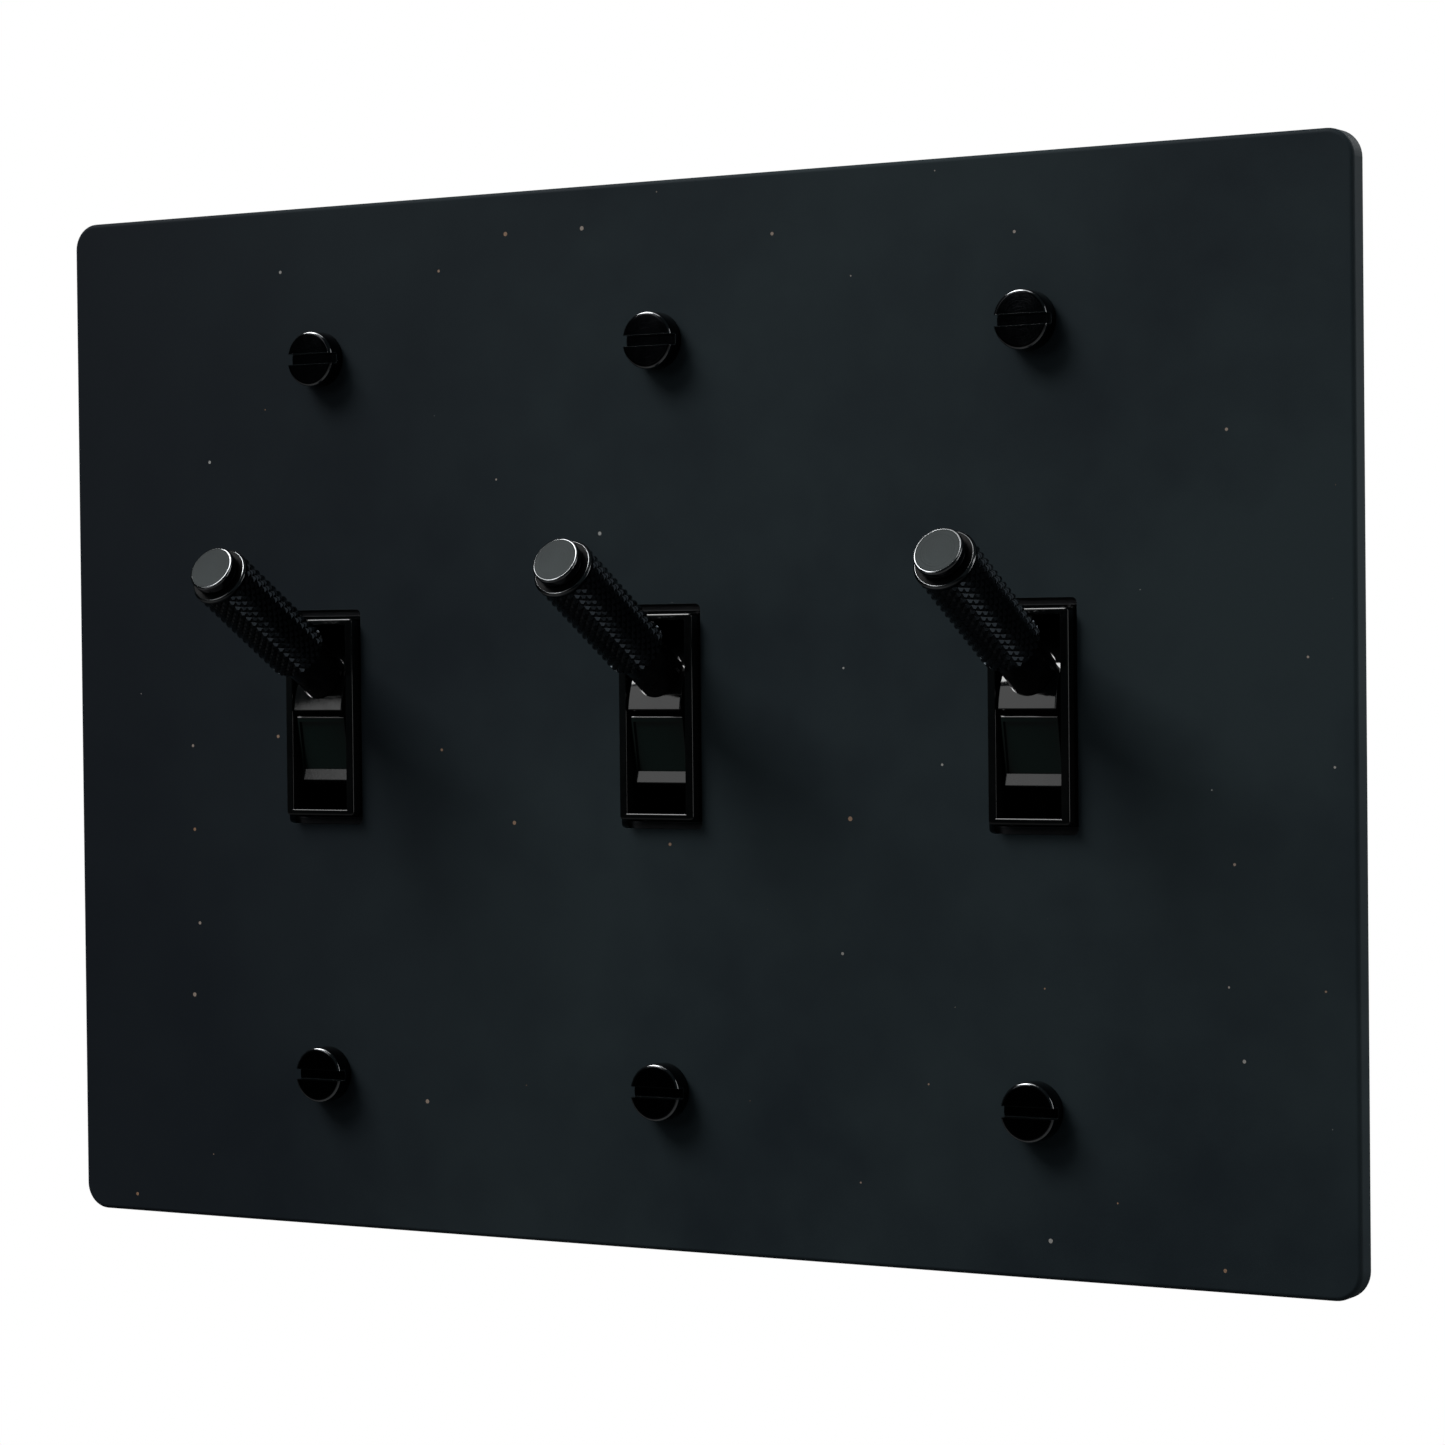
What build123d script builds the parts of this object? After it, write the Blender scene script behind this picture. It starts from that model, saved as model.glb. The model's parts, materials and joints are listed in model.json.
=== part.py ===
from build123d import *

import os
from math import cos, hypot, radians, sin

# A three-gang toggle light switch with its metal cover plate, in millimetres.
# +X is right, +Z is up and +Y goes into the wall; the levers point out along -Y.
# The origin is the centre of the plate's back rim, in the plane of the wall.
# The levers are drawn at their upper stop, which is ON: the lower contacts are closed.

os.makedirs("parts", exist_ok=True)

# ---- Driving dimensions: layout ----
gang_pitch = 46.04  # centre to centre of neighbouring switches
screw_spacing = 83.34  # the two box screws of one switch, top to bottom
gangs = {"left": -1, "middle": 0, "right": 1}

# ---- Driving dimensions: cover plate ----
plate_width = 165.1
plate_height = 119.0
plate_skin = 1.2  # metal left in front of the pocket
plate_corner_radius = 3.0
plate_edge_radius = 0.5
pocket_rim = 4.0  # width of the rim that lies on the wall
pocket_corner_radius = 2.0
opening_gap_x = 0.45  # between the collar and the plate, each side
opening_gap_z = 1.05
opening_corner_radius = 0.6

# ---- Driving dimensions: mounting strap ----
strap_width = 33.0
strap_thickness = 1.2
strap_recess = 0.05  # how far the strap stays off the pocket floor and the wall
strap_end_gap = 2.5  # from the strap's end to the pocket's edge
strap_corner_radius = 2.0
strap_window_gap = 0.3  # round the collar
screw_slot_length = 7.0
ground_tab_width = 8.0
ground_tab_depth = 9.5
ground_tab_inset = 1.0  # from the strap's side
ground_tab_drop = 6.0  # from the housing's lower end

# ---- Driving dimensions: lever and cradle ----
lever_tilt = 30.5  # the lever's angle above or below the normal at each stop
drum_radius = 9.4
drum_half_angle = 25.7
drum_proud = 0.3  # how far the drum stands out of the collar
skirt_inset = 0.6  # the skirt starts this far inside the drum
groove_depth = 0.5  # of the groove between the drum and the skirt, below the skirt
skirt_lean = 9.6  # the skirt's angle from upright at the lever's stop
lip_reach = 10.4  # half the cradle's height
lip_length = 1.3
lip_thickness = 1.0
lip_flare = 9.0  # how far the lip's face looks up at the lever's stop
panel_depth = 0.25
panel_border = 0.3
skirt_edge_radius = 0.25
cradle_edge_radius = 0.12
cradle_width = 6.8
trunnion_radius = 1.5
trunnion_length = 2.6
hub_radius = 3.4
tail_radius = 3.2
tail_length = 8.0  # from the pivot to the tail's end
neck_radius = 2.7
neck_seat = 8.9  # from the pivot to the neck's shoulder
grip_start = 15.1
grip_end = 32.2
grip_radius = 3.5
grip_chamfer = 0.45
spigot_radius = 1.6
spigot_start = 3.6
spindle_radius = 2.0
spindle_end = 31.0
cap_radius = 2.75
cap_thickness = 1.6
cap_chamfer = 0.35
cap_stem_radius = 1.1
cap_stem_length = 4.0

# ---- Driving dimensions: housing ----
collar_wall = 1.0
collar_end_wall = 0.7
collar_proud = 1.2  # in front of the plate
collar_side_gap = 0.4  # between the cradle's side and the collar
collar_end_gap = 0.35  # between the cradle's lip and the collar's end
collar_edge_radius = 0.25
collar_inner_edge_radius = 0.15
collar_corner_radius = 0.4
housing_width = 28.0
housing_height = 58.0
housing_wall = 2.0
chamber_half_width = 7.0
chamber_half_height = 20.0
swing_gap = 0.45  # round the cradle's lip inside the housing
keeper_tongue = 1.05  # from the back of the trunnion slot to the parting
keeper_rib_depth = 4.0
housing_edge_radius = 1.0

# ---- Driving dimensions: contacts ----
plunger_radius = 1.7
plunger_tip = 11.0  # from the pivot to the plunger's nose
plunger_body = 4.3
dish_radius = 7.1
dish_half_angle = 57.0
dish_gap = 0.1  # between the nose and the dish
rocker_tilt = 8.0  # each way
rocker_thickness = 1.0
rocker_half_width = 3.0
arm_start = 5.6
arm_end = 12.8
arm_front = -2.8  # the arm's front face, from the fulcrum, when its contact is closed
fulcrum_radius = 0.8
fulcrum_boss = 2.0
fulcrum_web = 1.0
fulcrum_height = 1.4
fulcrum_gap = 0.5  # from the dish's back to the middle of the fulcrum
contact_radius = 1.7
contact_thickness = 0.8
contact_edge_radius = 0.2
contact_height = 10.8  # from the fulcrum
contact_shank_radius = 0.8
terminal_thickness = 1.0
terminal_half_width = 3.5
terminal_height = 14.0  # the side screws, above and below the middle
terminal_half_height = 4.0
terminal_screw_set = 6.0  # behind the parting
flange_set = 1.0  # behind the parting
flange_inset = 1.6  # from the housing's side

# ---- Driving dimensions: screws, rivets and spring ----
thread_radius = 1.75
screw_neck_radius = 1.45
screw_length = 25.4
screw_tip_chamfer = 0.5
thread_start = 1.0  # behind the wall plane
plate_head_radius = 3.2
plate_head_height = 2.3
head_edge_radius = 0.35
slot_width = 1.2
slot_depth = 1.1
terminal_head_radius = 3.5
terminal_head_height = 2.2
terminal_thread_length = 4.0
rivet_radius = 1.2
rivet_head_radius = 2.2
rivet_head_height = 0.8
rivet_inset = 3.5  # from the housing's edges
spring_wire_radius = 0.25
spring_pitch = 0.95

# ---- Clearances ----
running_clearance = 0.05  # between a trunnion or fulcrum and its bearing
bore_clearance = 0.1
fit_clearance = 0.05
screw_clearance = 0.15
seat_gap = 0.05

# ---- Places worked out from the sizes ----
pocket_depth = strap_thickness + 2 * strap_recess
plate_thickness = pocket_depth + plate_skin
plate_front = -plate_thickness
strap_back = -strap_recess
strap_front = strap_back - strap_thickness
strap_height = plate_height - 2 * (pocket_rim + strap_end_gap)
collar_front = plate_front - collar_proud
pivot_depth = collar_front + drum_radius - drum_proud
collar_inner_width = cradle_width + 2 * collar_side_gap
collar_inner_height = 2 * (lip_reach + collar_end_gap)
collar_width = collar_inner_width + 2 * collar_wall
collar_height = collar_inner_height + 2 * collar_end_wall
chamber_front = strap_back + housing_wall
parting_depth = pivot_depth + trunnion_radius + running_clearance + keeper_tongue
terminal_screw_depth = parting_depth + terminal_screw_set
flange_front = parting_depth + flange_set
trunnion_reach = cradle_width / 2 + trunnion_length
slot_reach = trunnion_reach + collar_side_gap
grip_bore_radius = spindle_radius + fit_clearance
tail_bore_radius = plunger_radius + bore_clearance
dish_centre = plunger_tip + dish_gap - dish_radius  # behind the pivot
fulcrum_depth = pivot_depth + plunger_tip + dish_gap + rocker_thickness + fulcrum_gap
contact_back = arm_front + rocker_thickness + contact_thickness
line_front = fulcrum_depth + contact_back + seat_gap + contact_thickness
line_back = line_front + terminal_thickness
common_front = fulcrum_depth + fulcrum_height
common_back = common_front + terminal_thickness
floor_depth = common_back + seat_gap
housing_back_depth = floor_depth + housing_wall
flange_outer = housing_width / 2 - flange_inset
flange_inner = flange_outer - terminal_thickness
rivet_x = housing_width / 2 - rivet_inset
rivet_z = housing_height / 2 - rivet_inset
upper, lower = 1, -1


# ---- Small helpers ----
def block(x, y, z):
    """A block between a low and a high limit along each axis."""
    limits = (x, y, z)
    centre = [(low + high) / 2 for low, high in limits]
    size = [high - low for low, high in limits]
    return Pos(*centre) * Box(*size)


def rod_x(radius, x, y=0.0, z=0.0):
    """A round rod along X between two limits."""
    return Pos((x[0] + x[1]) / 2, y, z) * Rot(0, 90, 0) * Cylinder(radius, x[1] - x[0])


def rod_y(radius, y, x=0.0, z=0.0):
    """A round rod along Y between two limits."""
    return Pos(x, (y[0] + y[1]) / 2, z) * Rot(90, 0, 0) * Cylinder(radius, y[1] - y[0])


def rod_z(radius, z, x=0.0, y=0.0):
    """A round rod along Z between two limits."""
    return Pos(x, y, (z[0] + z[1]) / 2) * Cylinder(radius, z[1] - z[0])


def both(half):
    """Limits the same distance each side of zero."""
    return (-half, half)


def wall_slab(width, height, radius, depth):
    """A slab with rounded corners, from the wall plane forwards."""
    return extrude(Plane.XZ * RectangleRounded(width, height, radius), amount=depth)


def front_edges(shape):
    """The edges of the face that looks out of the wall."""
    return shape.faces().sort_by(Axis.Y)[0].outer_wire().edges()


def inner_front_edges(shape):
    """The edges round the hole in the face that looks out of the wall."""
    return shape.faces().sort_by(Axis.Y)[0].inner_wires()[0].edges()


# ---- Cover plate ----
def face_plate():
    """The metal plate: a thin skin with a rim round its back pocket."""
    body = wall_slab(plate_width, plate_height, plate_corner_radius, plate_thickness)
    body = fillet(front_edges(body), plate_edge_radius)
    pocket_width = plate_width - 2 * pocket_rim
    pocket_height = plate_height - 2 * pocket_rim
    body -= wall_slab(pocket_width, pocket_height, pocket_corner_radius, pocket_depth)
    opening_width = collar_width + 2 * opening_gap_x
    opening_height = collar_height + 2 * opening_gap_z
    opening = wall_slab(opening_width, opening_height, opening_corner_radius, 2 * plate_thickness)
    hole = rod_y(thread_radius + screw_clearance, (2 * plate_front, 0))
    for side in gangs.values():
        body -= Pos(side * gang_pitch, 0, 0) * opening
        for end in (upper, lower):
            body -= Pos(side * gang_pitch, 0, end * screw_spacing / 2) * hole
    return body


def plate_screw():
    """A slotted cheese-head screw with a thin neck, so it stays in its plate hole."""
    head_front = plate_front - plate_head_height
    head = rod_y(plate_head_radius, (head_front, plate_front))
    head = fillet(head.edges().sort_by(Axis.Y)[0], head_edge_radius)
    slot_y = (head_front - slot_depth, head_front + slot_depth)
    slot = block(both(2 * plate_head_radius), slot_y, both(slot_width / 2))
    neck = rod_y(screw_neck_radius, (plate_front, thread_start))
    thread_end = plate_front + screw_length
    thread = rod_y(thread_radius, (thread_start, thread_end))
    thread = chamfer(thread.edges().sort_by(Axis.Y)[-1], screw_tip_chamfer)
    return head - slot + neck + thread


# ---- Mounting strap and its fasteners ----
def ground_place():
    """The middle of the ground screw's hole in the bent tab."""
    x = strap_width / 2 - ground_tab_inset - ground_tab_width / 2
    y = strap_back + ground_tab_depth / 2
    z = -housing_height / 2 - ground_tab_drop
    return x, y, z


def strap():
    """The steel strap that carries one switch, with a ground tab bent back."""
    body = wall_slab(strap_width, strap_height, strap_corner_radius, strap_thickness)
    body = Pos(0, strap_back, 0) * body
    window_width = collar_width + 2 * strap_window_gap
    window_height = collar_height + 2 * strap_window_gap
    body -= block(both(window_width / 2), both(pivot_depth), both(window_height / 2))
    slot_radius = thread_radius + 2 * screw_clearance
    outline = Plane.XZ * SlotOverall(screw_slot_length, 2 * slot_radius)
    slot = extrude(outline, amount=pivot_depth, both=True)
    for end in (upper, lower):
        body -= Pos(0, 0, end * screw_spacing / 2) * slot
    for x, z in rivet_places():
        body -= rod_y(rivet_radius + fit_clearance, both(pivot_depth), x, z)
    x, y, z = ground_place()
    tab_x = (x - ground_tab_width / 2, x + ground_tab_width / 2)
    tab = block(tab_x, (strap_front, strap_back + ground_tab_depth), (z - strap_thickness, z))
    tab -= rod_z(thread_radius + fit_clearance, (z - 2 * strap_thickness, z + strap_thickness), x, y)
    return body + tab


def ground_screw():
    """The green screw in the strap's tab, its head below the tab."""
    x, y, z = ground_place()
    head_top = z - strap_thickness - seat_gap
    head = rod_z(terminal_head_radius, (head_top - terminal_head_height, head_top))
    head = fillet(head.edges().sort_by(Axis.Z)[0], head_edge_radius)
    foot = head_top - terminal_head_height
    slot_z = (foot - slot_depth, foot + slot_depth)
    head -= block(both(2 * terminal_head_radius), both(slot_width / 2), slot_z)
    thread = rod_z(thread_radius, (head_top, z + terminal_thread_length - strap_thickness))
    return Pos(x, y, 0) * (head + thread)


def rivet_places():
    """The four rivets, one near each corner of the housing."""
    return [(x * rivet_x, z * rivet_z) for x in (-1, 1) for z in (-1, 1)]


def rivets():
    """Four rivets that hold the strap and both housings together."""
    shank = rod_y(rivet_radius, (strap_front, housing_back_depth))
    head = rod_y(rivet_head_radius, (housing_back_depth, housing_back_depth + rivet_head_height))
    head = fillet(head.edges().sort_by(Axis.Y)[-1], head_edge_radius)
    rivet = shank + head
    return Compound(children=[Pos(x, 0, z) * rivet for x, z in rivet_places()])


# ---- Housings ----
def trunnion_slot():
    """The slot that the trunnions drop into from behind, round at its front end."""
    radius = trunnion_radius + running_clearance
    slot = rod_x(radius, both(slot_reach), pivot_depth)
    return slot + block(both(slot_reach), (pivot_depth, parting_depth + housing_wall), both(radius))


def front_housing():
    """The front moulding: the collar that shows through the plate and its base."""
    base = block(both(housing_width / 2), (strap_back, parting_depth), both(housing_height / 2))
    base = fillet(base.edges().filter_by(Axis.Y), housing_edge_radius)
    collar = block(both(collar_width / 2), (collar_front, parting_depth), both(collar_height / 2))
    collar = fillet(collar.edges().filter_by(Axis.Y), collar_corner_radius)
    collar = fillet(front_edges(collar), collar_edge_radius)
    deep = parting_depth + housing_wall
    opening_x = both(collar_inner_width / 2)
    opening = block(opening_x, (2 * collar_front, deep), both(collar_inner_height / 2))
    collar -= opening
    collar = fillet(inner_front_edges(collar), collar_inner_edge_radius)
    body = base + collar - opening
    swing_half = hypot(*cradle_outline()["lip_end"]) + swing_gap
    body -= block(opening_x, (chamber_front, deep), both(swing_half))
    body -= trunnion_slot()
    pocket_inner = slot_reach + housing_wall
    for side in (-1, 1):
        pocket_x = sorted((side * pocket_inner, side * (housing_width / 2 - housing_wall)))
        body -= block(pocket_x, (chamber_front, deep), both(chamber_half_height))
    for x, z in rivet_places():
        body -= rod_y(rivet_radius + fit_clearance, both(deep), x, z)
    return body


def keepers():
    """Two ribs in the back housing that close the trunnion slots."""
    reach = trunnion_radius + running_clearance
    tongue_z = both(reach - bore_clearance)
    made = []
    for side in (-1, 1):
        inner = collar_inner_width / 2 + bore_clearance
        tongue_x = sorted((side * inner, side * (slot_reach - bore_clearance)))
        rib_x = sorted((side * inner, side * (chamber_half_width + bore_clearance)))
        tongue = block(tongue_x, (pivot_depth + reach, parting_depth), tongue_z)
        made.append(tongue + block(rib_x, (parting_depth, parting_depth + keeper_rib_depth), tongue_z))
    return made


def terminal_channel(end, back):
    """The way out of the chamber for one terminal, open towards the front and the side."""
    half = terminal_half_height + bore_clearance
    middle = end * terminal_height
    x = (chamber_half_width - bore_clearance, housing_width)
    return block(x, (parting_depth - housing_wall, back), (middle - half, middle + half))


def back_housing():
    """The back moulding: a cup that holds the terminals and the contact rocker."""
    body = block(both(housing_width / 2), (parting_depth, housing_back_depth), both(housing_height / 2))
    body = fillet(body.edges().filter_by(Axis.Y), housing_edge_radius)
    chamber_y = (parting_depth - housing_wall, floor_depth)
    body -= block(both(chamber_half_width), chamber_y, both(chamber_half_height))
    body -= terminal_channel(upper, floor_depth)
    body -= terminal_channel(lower, line_back + seat_gap)
    seat_top = -terminal_height + terminal_half_height + bore_clearance
    seat_x = both(terminal_half_width + bore_clearance)
    body += block(seat_x, (line_back + seat_gap, floor_depth), (-chamber_half_height, seat_top))
    stop_front = fulcrum_depth + arm_front + rocker_thickness + seat_gap
    stop_x = (-chamber_half_width - bore_clearance, -fulcrum_web)
    body += block(stop_x, (stop_front, common_front - bore_clearance), (contact_height, arm_end))
    for rib in keepers():
        body += rib
    for x, z in rivet_places():
        body -= rod_y(rivet_radius + fit_clearance, (0, housing_back_depth + housing_wall), x, z)
    return body


# ---- Lever: each piece is drawn with the lever along +Z and the pivot at the origin ----
def cradle_outline():
    """The corners of one half of the cradle's side view, as (across, along) the lever."""
    drum = radians(drum_half_angle)
    start = radians(lever_tilt)
    slope = radians(lever_tilt + skirt_lean)
    flare = radians(lever_tilt - lip_flare)
    skirt_radius = drum_radius - skirt_inset
    groove_radius = skirt_radius - groove_depth
    groove = (drum + start) / 2
    skirt_start = (skirt_radius * sin(start), skirt_radius * cos(start))
    lip_start_across = lip_reach - lip_length * cos(flare)
    skirt_run = (lip_start_across - skirt_start[0]) / cos(slope)
    lip_start_along = skirt_start[1] - skirt_run * sin(slope)
    lip_end_along = lip_start_along - lip_length * sin(flare)
    return {
        "drum_end": (drum_radius * sin(drum), drum_radius * cos(drum)),
        "groove_floor": (groove_radius * sin(groove), groove_radius * cos(groove)),
        "skirt_start": skirt_start,
        "lip_start": (lip_start_across, lip_start_along),
        "lip_end": (lip_reach, lip_end_along),
        "lip_back": (lip_reach, lip_end_along - lip_thickness),
        "hub_side": (hub_radius, 0.0),
    }


def skirt_panel():
    """The shallow panel sunk into one skirt of the cradle."""
    outline = cradle_outline()
    skirt_start = outline["skirt_start"]
    lip_start = outline["lip_start"]
    skirt_run = hypot(lip_start[0] - skirt_start[0], lip_start[1] - skirt_start[1])
    length = skirt_run - skirt_edge_radius - panel_border
    width = cradle_width - 2 * panel_border
    panel = Pos(0, skirt_edge_radius + panel_border + length / 2, 0) * Box(width, length, 2 * panel_depth)
    return Pos(0, *skirt_start) * Rot(-lever_tilt - skirt_lean, 0, 0) * panel


def cross_edges(shape, corner):
    """The edges along X that pass through one corner of the side view, on either skirt."""
    across, along = corner
    edges = shape.edges().filter_by(Axis.X)
    return [e for e in edges if hypot(abs(e.center().Y) - across, e.center().Z - along) < fit_clearance]


def cradle():
    """The black rocker behind the lever, with its trunnions and its hollow tail."""
    outline = cradle_outline()
    one_side = list(outline.values())
    other_side = [(-across, along) for across, along in reversed(one_side)]
    sides = Polyline(*one_side, *other_side)
    drum = ThreePointArc(other_side[-1], (0, drum_radius), one_side[0])
    profile = Plane.YZ * make_face([*sides.edges(), drum])
    body = extrude(profile, amount=cradle_width / 2, both=True)
    body = fillet(cross_edges(body, outline["skirt_start"]), skirt_edge_radius)
    for corner in ("drum_end", "lip_end", "lip_back"):
        body = fillet(cross_edges(body, outline[corner]), cradle_edge_radius)
    for flank in (0, -1):
        body = fillet(body.faces().sort_by(Axis.X)[flank].edges(), cradle_edge_radius)
    body += rod_x(hub_radius, both(cradle_width / 2))
    body += rod_x(trunnion_radius, both(trunnion_reach))
    body += rod_z(tail_radius, (-tail_length, 0))
    panel = skirt_panel()
    body -= panel
    body -= mirror(panel, Plane.XZ)
    body -= rod_z(neck_radius + bore_clearance, (neck_seat, 2 * drum_radius))
    body -= rod_z(spigot_radius + fit_clearance, (spigot_start - bore_clearance, drum_radius))
    return body - rod_z(tail_bore_radius, (-2 * tail_length, 0))


def stem():
    """The turned metal stem: spigot, smooth neck and the spindle inside the grip."""
    body = rod_z(spigot_radius, (spigot_start, neck_seat))
    body += rod_z(neck_radius, (neck_seat, grip_start))
    body += rod_z(spindle_radius, (grip_start, spindle_end))
    hole = rod_z(cap_stem_radius + fit_clearance, (grip_end - cap_stem_length - bore_clearance, grip_end))
    return body - hole


def grip():
    """The barrel of the lever, at its full size over the knurl."""
    body = rod_z(grip_radius, (grip_start, grip_end))
    body = chamfer(body.edges(), grip_chamfer)
    return body - rod_z(grip_bore_radius, (0, 2 * grip_end))


def tip_cap():
    """The satin disc on the end of the grip, with the stem that screws into the spindle."""
    end = grip_end + cap_thickness
    disc = rod_z(cap_radius, (grip_end, end))
    disc = chamfer(disc.edges().sort_by(Axis.Z)[-1], cap_chamfer)
    return disc + rod_z(cap_stem_radius, (grip_end - cap_stem_length, grip_end))


def plunger():
    """The pin whose round nose slides in the dish of the contact rocker."""
    nose = plunger_radius - plunger_tip
    body = rod_z(plunger_radius, (nose, nose + plunger_body))
    return body + Pos(0, 0, nose) * Sphere(plunger_radius)


def spring():
    """The coil spring in the tail that pushes the plunger out."""
    bottom = plunger_radius - plunger_tip + plunger_body + spring_wire_radius + fit_clearance
    height = -bottom - spring_wire_radius - fit_clearance
    coil_radius = tail_bore_radius - spring_wire_radius - bore_clearance
    path = Helix(spring_pitch, height, coil_radius)
    wire = Plane(origin=path @ 0, z_dir=path % 0) * Circle(spring_wire_radius)
    return Pos(0, 0, bottom) * sweep(wire, path=path, is_frenet=True)


# ---- Contact rocker: drawn about its fulcrum, with the rocker level ----
def rocker_arm(end):
    """One arm, flat against its contact or stop when the rocker leans to that side."""
    arm_z = sorted((end * arm_start, end * arm_end))
    arm = block(both(rocker_half_width), (arm_front, arm_front + rocker_thickness), arm_z)
    return Rot(end * rocker_tilt, 0, 0) * arm


def contact_rocker():
    """The brass see-saw: a dish for the plunger, two arms and a grooved boss behind."""
    centre = pivot_depth + dish_centre - fulcrum_depth
    outer = dish_radius + rocker_thickness
    band = rod_x(outer, both(rocker_half_width), centre)
    band -= rod_x(dish_radius, both(rocker_half_width), centre)
    angle = radians(dish_half_angle)
    half = outer * sin(angle)
    band &= block(both(rocker_half_width), (centre + outer * cos(angle), 0), both(half))
    band += rocker_arm(upper)
    band += rocker_arm(lower)
    hole = rod_y(contact_shank_radius + fit_clearance, (-dish_radius, 0), 0, -contact_height)
    band -= Rot(-rocker_tilt, 0, 0) * hole
    boss_y = (centre + dish_radius + rocker_thickness / 2, 0)
    boss = block(both(rocker_half_width), boss_y, both(fulcrum_boss))
    return band + boss - rod_x(fulcrum_radius + running_clearance, both(2 * rocker_half_width))


def contact_button(face, back, shank_end):
    """A silver button with a shank, between three depths on the contact's axis."""
    button = rod_y(contact_radius, sorted((face, back)), 0, -contact_height)
    front_first = button.edges().sort_by(Axis.Y)
    edge = front_first[0] if face < back else front_first[-1]
    button = fillet(edge, contact_edge_radius)
    return button + rod_y(contact_shank_radius, sorted((back, shank_end)), 0, -contact_height)


def moving_contact():
    """The silver button on the rocker's lower arm."""
    arm_back = arm_front + rocker_thickness
    return Rot(-rocker_tilt, 0, 0) * contact_button(contact_back, arm_back, arm_front)


# ---- Terminals ----
def terminal_flange(end, back):
    """The arm and side flange of one terminal, with its screw hole."""
    middle = end * terminal_height
    z = (middle - terminal_half_height, middle + terminal_half_height)
    arm = block((0, flange_outer), (back - terminal_thickness, back), z)
    flange = block((flange_inner, flange_outer), (flange_front, back), z)
    hole_x = (flange_inner - housing_wall, flange_outer + housing_wall)
    hole = rod_x(thread_radius + fit_clearance, hole_x, terminal_screw_depth, middle)
    return arm + flange - hole


def common_terminal():
    """The terminal that carries the fulcrum, reaching the upper side screw."""
    top = terminal_height + terminal_half_height
    plate = block(both(terminal_half_width), (common_front, common_back), (-terminal_half_width, top))
    web = block(both(rocker_half_width), (fulcrum_depth, common_front), both(fulcrum_web / 2))
    bead = rod_x(fulcrum_radius, both(rocker_half_width), fulcrum_depth)
    return plate + web + bead + terminal_flange(upper, common_back)


def line_terminal():
    """The terminal behind the fixed contact, reaching the lower side screw."""
    z = (-terminal_height - terminal_half_height, -contact_height + contact_radius + contact_thickness)
    plate = block(both(terminal_half_width), (line_front, line_back), z)
    body = plate + terminal_flange(lower, line_back)
    return body - rod_y(contact_shank_radius + fit_clearance, (0, 2 * line_back), 0, -contact_height)


def fixed_contact():
    """The silver button that the moving contact closes on."""
    face = line_front - contact_thickness
    return contact_button(face, line_front, line_back)


def terminal_screws():
    """The two side screws that clamp the wires."""
    head_start = flange_outer + seat_gap
    head_end = head_start + terminal_head_height
    head = rod_x(terminal_head_radius, (head_start, head_end))
    head = fillet(head.edges().sort_by(Axis.X)[-1], head_edge_radius)
    slot_x = (head_end - slot_depth, head_end + slot_depth)
    head -= block(slot_x, both(2 * terminal_head_radius), both(slot_width / 2))
    screw = head + rod_x(thread_radius, (head_start - terminal_thread_length, head_start))
    places = [(terminal_screw_depth, end * terminal_height) for end in (upper, lower)]
    return Compound(children=[Pos(0, y, z) * screw for y, z in places])


# ---- Put the pieces in their places and write them ----
def write(shape, name):
    """Write one node."""
    export_step(shape, f"parts/{name}.step")


def write_gang(name, x):
    """Write the pieces of one switch, its middle at x."""
    here = Pos(x, 0, 0)
    tilt = radians(lever_tilt)
    along = (0, -cos(tilt), sin(tilt))
    lever = Plane(origin=(x, pivot_depth, 0), x_dir=(1, 0, 0), z_dir=along).location
    seesaw = Pos(x, fulcrum_depth, 0) * Rot(rocker_tilt, 0, 0)
    fixed = {
        "strap": strap,
        "rivets": rivets,
        "ground_screw": ground_screw,
        "front_housing": front_housing,
        "back_housing": back_housing,
        "common_terminal": common_terminal,
        "line_terminal": line_terminal,
        "fixed_contact": fixed_contact,
        "terminal_screws": terminal_screws,
    }
    on_lever = {
        "cradle": cradle,
        "stem": stem,
        "grip": grip,
        "tip_cap": tip_cap,
        "plunger": plunger,
        "spring": spring,
    }
    on_seesaw = {"contact_rocker": contact_rocker, "moving_contact": moving_contact}
    for place, pieces in ((here, fixed), (lever, on_lever), (seesaw, on_seesaw)):
        for piece, make in pieces.items():
            write(place * make(), f"{name}_{piece}")


write(face_plate(), "face_plate")
for gang, side in gangs.items():
    write_gang(gang, side * gang_pitch)
    for end, level in (("upper", upper), ("lower", lower)):
        place = Pos(side * gang_pitch, 0, level * screw_spacing / 2)
        write(place * plate_screw(), f"{gang}_{end}_plate_screw")
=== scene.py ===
# %% [markdown]
# # A three-gang toggle switch and its cover plate
# The frame below is a finished mechanical model: a metal plate, six slotted screws and three toggle
# switches with their straps, housings, levers and contacts. Every piece already has its right size and
# place, and the moving ones already turn on their joints. What is left for Blender is what the eye reads:
# the powder coat, the gloss of moulded plastic, the cut of a knurl, and screw threads that are really cut.

import json
from math import cos, pi, radians, sin

import bmesh
import bpy
from mathutils import Matrix, Vector


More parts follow.
